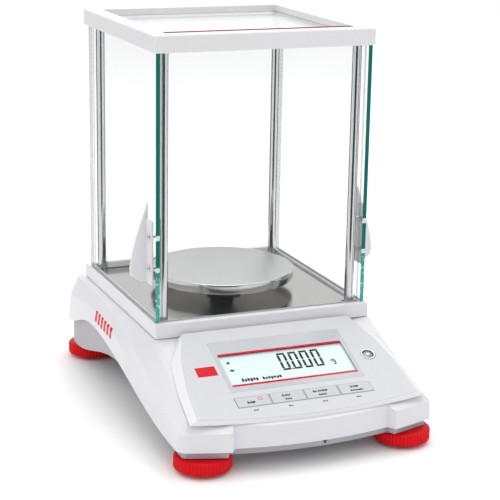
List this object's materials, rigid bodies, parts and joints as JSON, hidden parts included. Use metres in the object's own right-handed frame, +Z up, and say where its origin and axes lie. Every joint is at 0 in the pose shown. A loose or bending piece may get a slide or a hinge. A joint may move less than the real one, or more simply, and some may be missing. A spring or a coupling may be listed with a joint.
{
  "type": "analytical balance",
  "caption": "Top-loading precision balance: sloping display panel, steel pan in a glass draft shield with sliding doors and lid, and levelling feet.",
  "frame": {"origin": "on the bench, under the middle of the balance's outer box", "axes": "+Z up, -Y towards the user and the display, +X to the user's right"},
  "size_m": [0.209, 0.3209, 0.309],
  "materials": {
    "casting_grey": "painted",
    "housing_white": "satin",
    "cell_aluminium": "milled",
    "board_green": "coated",
    "port_black": "matte",
    "panel_grey": "matte",
    "window_clear": "clear gloss",
    "lcd_pale": "gloss",
    "level_rim": "polished",
    "level_clear": "clear gloss",
    "frame_white": "satin",
    "floor_steel": "polished",
    "post_steel": "polished",
    "pan_steel": "fine brushed",
    "screw_steel": "satin",
    "carrier_black": "matte",
    "door_glass": "clear",
    "grip_red": "satin",
    "key_grey": "matte",
    "pad_rubber": "matte",
    "wheel_red": "satin"
  },
  "bodies": {
    "base": {"base_casting": "casting_grey", "top_housing": "housing_white", "load_cell_mount": "cell_aluminium", "load_cell": "cell_aluminium", "main_board": "board_green", "display_board": "board_green", "dc_inlet": "port_black", "serial_port": "port_black", "usb_port": "port_black", "control_panel": "panel_grey", "display_window": "window_clear", "lcd_module": "lcd_pale", "level_cup": "level_rim", "level_glass": "level_clear", "shield_base": "frame_white", "floor_plate": "floor_steel", "post_front_left": "post_steel", "post_front_right": "post_steel", "post_rear_left": "post_steel", "post_rear_right": "post_steel", "top_frame": "frame_white", "front_glass": "door_glass", "rear_glass": "door_glass", "rear_rail": "frame_white", "pan_carrier": "carrier_black"},
    "weighing_pan": {"weighing_pan": "pan_steel"},
    "left_door": {"left_door_glass": "door_glass", "left_door_handle": "frame_white", "left_door_screw_lower": "screw_steel", "left_door_screw_upper": "screw_steel"},
    "right_door": {"right_door_glass": "door_glass", "right_door_handle": "frame_white", "right_door_screw_lower": "screw_steel", "right_door_screw_upper": "screw_steel"},
    "top_door": {"top_door_glass": "door_glass", "top_door_grip": "grip_red"},
    "zero_key": {"zero_key": "key_grey"},
    "print_key": {"print_key": "key_grey"},
    "function_key": {"function_key": "key_grey"},
    "tare_key": {"tare_key": "key_grey"},
    "pad_front_left": {"foot_pad_front_left": "pad_rubber"},
    "pad_front_right": {"foot_pad_front_right": "pad_rubber"},
    "pad_rear_left": {"foot_pad_rear_left": "pad_rubber"},
    "pad_rear_right": {"foot_pad_rear_right": "pad_rubber"},
    "foot_front_left": {"foot_wheel_front_left": "wheel_red", "foot_stud_front_left": "screw_steel"},
    "foot_front_right": {"foot_wheel_front_right": "wheel_red", "foot_stud_front_right": "screw_steel"},
    "foot_rear_left": {"foot_wheel_rear_left": "wheel_red", "foot_stud_rear_left": "screw_steel"},
    "foot_rear_right": {"foot_wheel_rear_right": "wheel_red", "foot_stud_rear_right": "screw_steel"}
  },
  "joints": [
    {"name": "pan_lift", "type": "slide", "parent": "base", "child": "weighing_pan", "axis": [0, 0, 1], "range_m": [0, 0.05]},
    {"name": "left_door_slide", "type": "slide", "parent": "base", "child": "left_door", "axis": [0, 1, 0], "range_m": [0, 0.145]},
    {"name": "right_door_slide", "type": "slide", "parent": "base", "child": "right_door", "axis": [0, 1, 0], "range_m": [0, 0.145]},
    {"name": "top_door_slide", "type": "slide", "parent": "base", "child": "top_door", "axis": [0, 1, 0], "range_m": [0, 0.148]},
    {"name": "zero_key_press", "type": "slide", "parent": "base", "child": "zero_key", "axis": [0, 0.3901, -0.9208], "range_m": [0, 0.0008], "stiffness_N_per_m": 500},
    {"name": "print_key_press", "type": "slide", "parent": "base", "child": "print_key", "axis": [0, 0.3901, -0.9208], "range_m": [0, 0.0008], "stiffness_N_per_m": 500},
    {"name": "function_key_press", "type": "slide", "parent": "base", "child": "function_key", "axis": [0, 0.3901, -0.9208], "range_m": [0, 0.0008], "stiffness_N_per_m": 500},
    {"name": "tare_key_press", "type": "slide", "parent": "base", "child": "tare_key", "axis": [0, 0.3901, -0.9208], "range_m": [0, 0.0008], "stiffness_N_per_m": 500},
    {"name": "pad_drop_front_left", "type": "slide", "parent": "base", "child": "pad_front_left", "axis": [0, 0, -1], "range_m": [0, 0.003]},
    {"name": "pad_drop_front_right", "type": "slide", "parent": "base", "child": "pad_front_right", "axis": [0, 0, -1], "range_m": [0, 0.003]},
    {"name": "pad_drop_rear_left", "type": "slide", "parent": "base", "child": "pad_rear_left", "axis": [0, 0, -1], "range_m": [0, 0.003]},
    {"name": "pad_drop_rear_right", "type": "slide", "parent": "base", "child": "pad_rear_right", "axis": [0, 0, -1], "range_m": [0, 0.003]},
    {"name": "foot_turn_front_left", "type": "hinge", "parent": "pad_front_left", "child": "foot_front_left", "pos_m": [-0.0824, -0.1384, 0], "axis": [0, 0, -1], "range_deg": [0, 864]},
    {"name": "foot_turn_front_right", "type": "hinge", "parent": "pad_front_right", "child": "foot_front_right", "pos_m": [0.0824, -0.1384, 0], "axis": [0, 0, -1], "range_deg": [0, 864]},
    {"name": "foot_turn_rear_left", "type": "hinge", "parent": "pad_rear_left", "child": "foot_rear_left", "pos_m": [-0.0824, 0.1384, 0], "axis": [0, 0, -1], "range_deg": [0, 864]},
    {"name": "foot_turn_rear_right", "type": "hinge", "parent": "pad_rear_right", "child": "foot_rear_right", "pos_m": [0.0824, 0.1384, 0], "axis": [0, 0, -1], "range_deg": [0, 864]}
  ],
  "couplings": [
    {"joint": "foot_turn_front_left", "follows": "pad_drop_front_left", "rad_per_m": 5026.5},
    {"joint": "foot_turn_front_right", "follows": "pad_drop_front_right", "rad_per_m": 5026.5},
    {"joint": "foot_turn_rear_left", "follows": "pad_drop_rear_left", "rad_per_m": 5026.5},
    {"joint": "foot_turn_rear_right", "follows": "pad_drop_rear_right", "rad_per_m": 5026.5}
  ]
}
